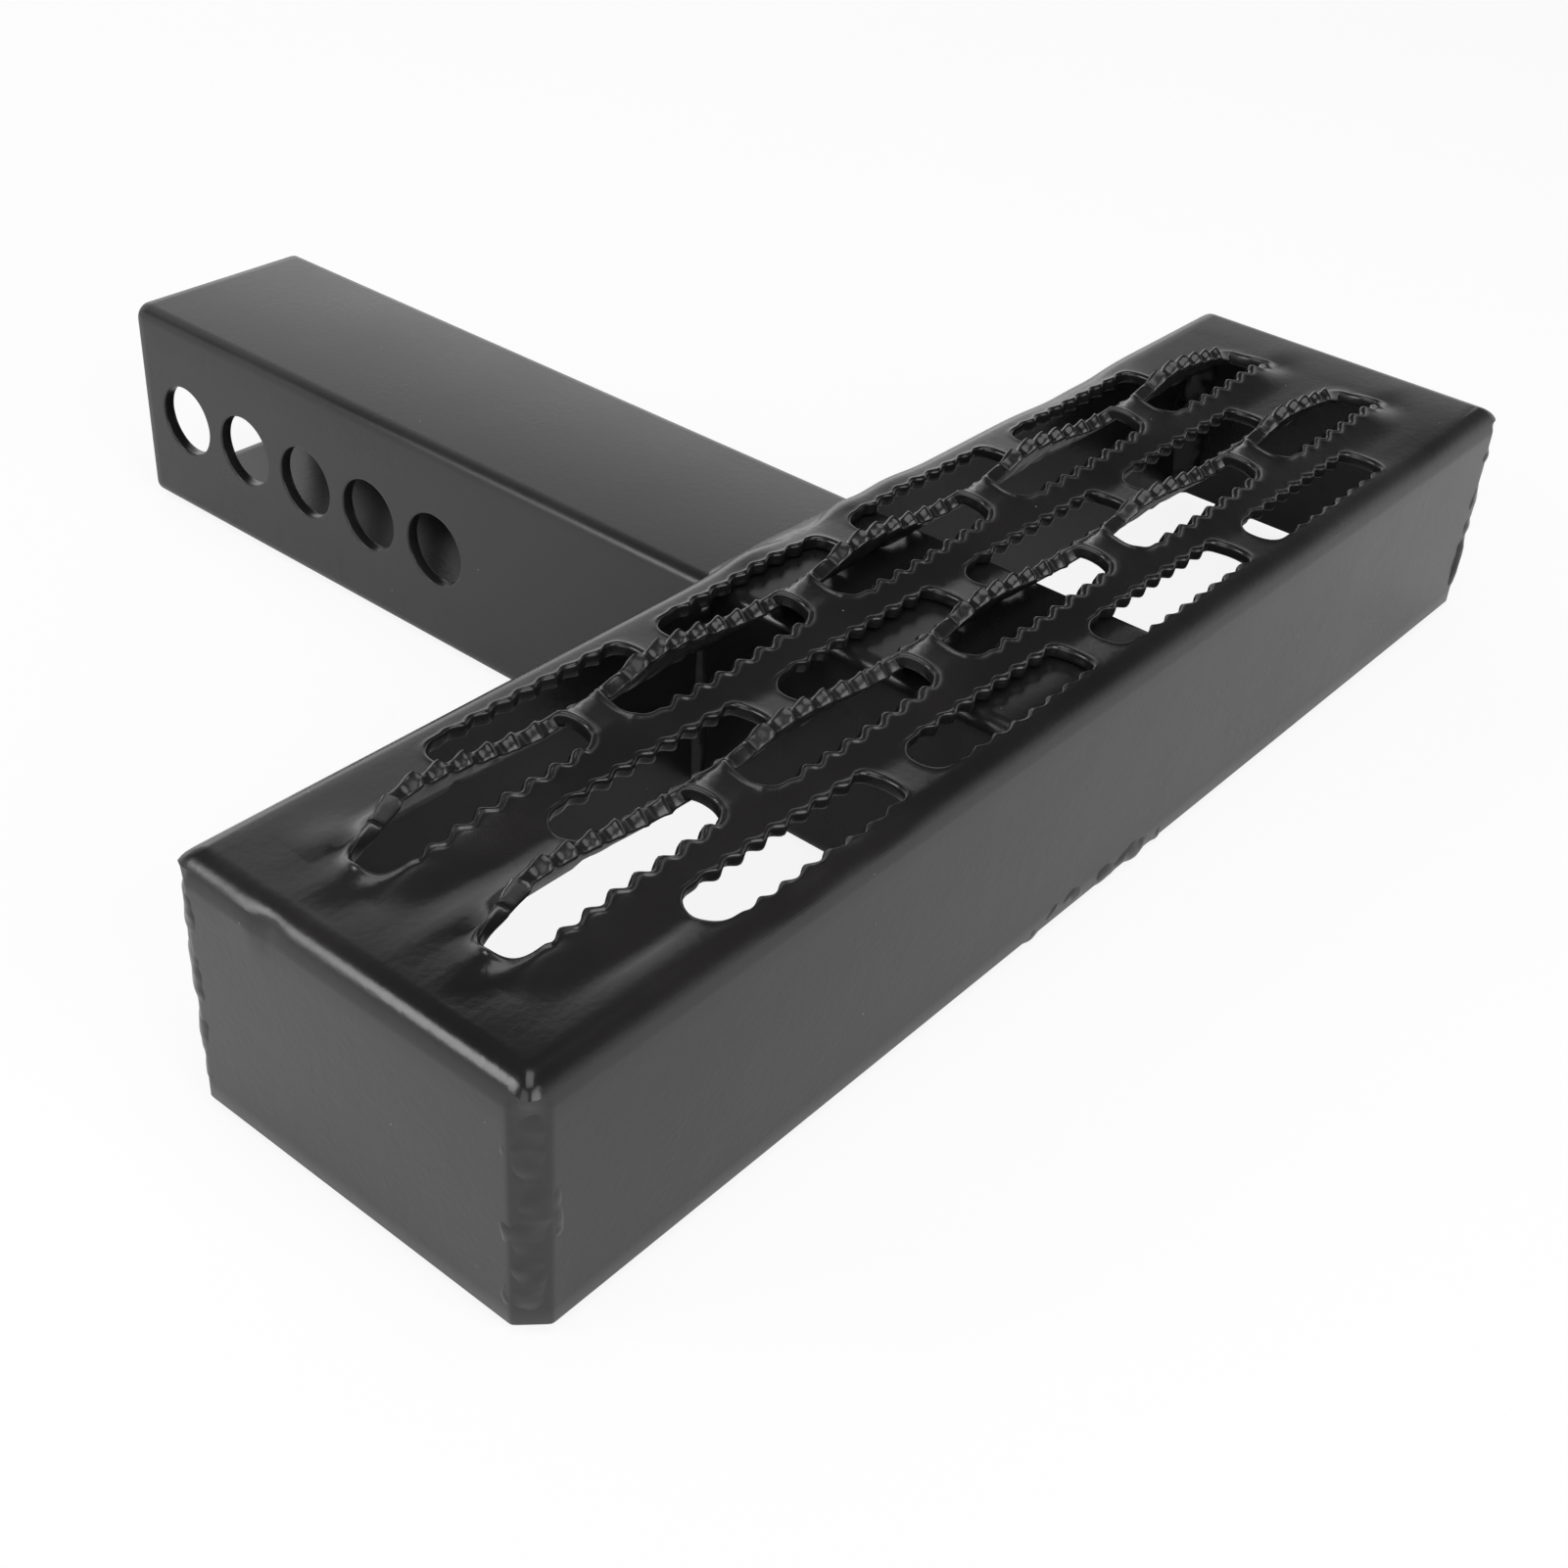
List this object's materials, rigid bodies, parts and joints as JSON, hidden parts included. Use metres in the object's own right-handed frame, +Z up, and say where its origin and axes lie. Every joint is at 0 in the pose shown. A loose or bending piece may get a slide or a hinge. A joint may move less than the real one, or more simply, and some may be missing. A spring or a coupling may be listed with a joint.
{
  "type": "hitch receiver step",
  "caption": "Black steel hitch step: a folded tray with a serrated grating tread welded to a square receiver shank.",
  "frame": {"origin": "on the shank's underside, below the middle of the tray", "axes": "+X along the tread, +Y along the shank to the vehicle, +Z up"},
  "size_m": [0.3221, 0.2649, 0.0624],
  "materials": {
    "black_powder_coat": "satin"
  },
  "bodies": {
    "root": {"step_tray": "black_powder_coat", "shank_tube": "black_powder_coat", "weld_front_near": "black_powder_coat", "weld_rear_near": "black_powder_coat", "weld_front_far": "black_powder_coat", "weld_rear_far": "black_powder_coat", "weld_shank_left": "black_powder_coat", "weld_shank_right": "black_powder_coat", "weld_shank_top": "black_powder_coat", "weld_shank_front": "black_powder_coat"}
  },
  "joints": []
}
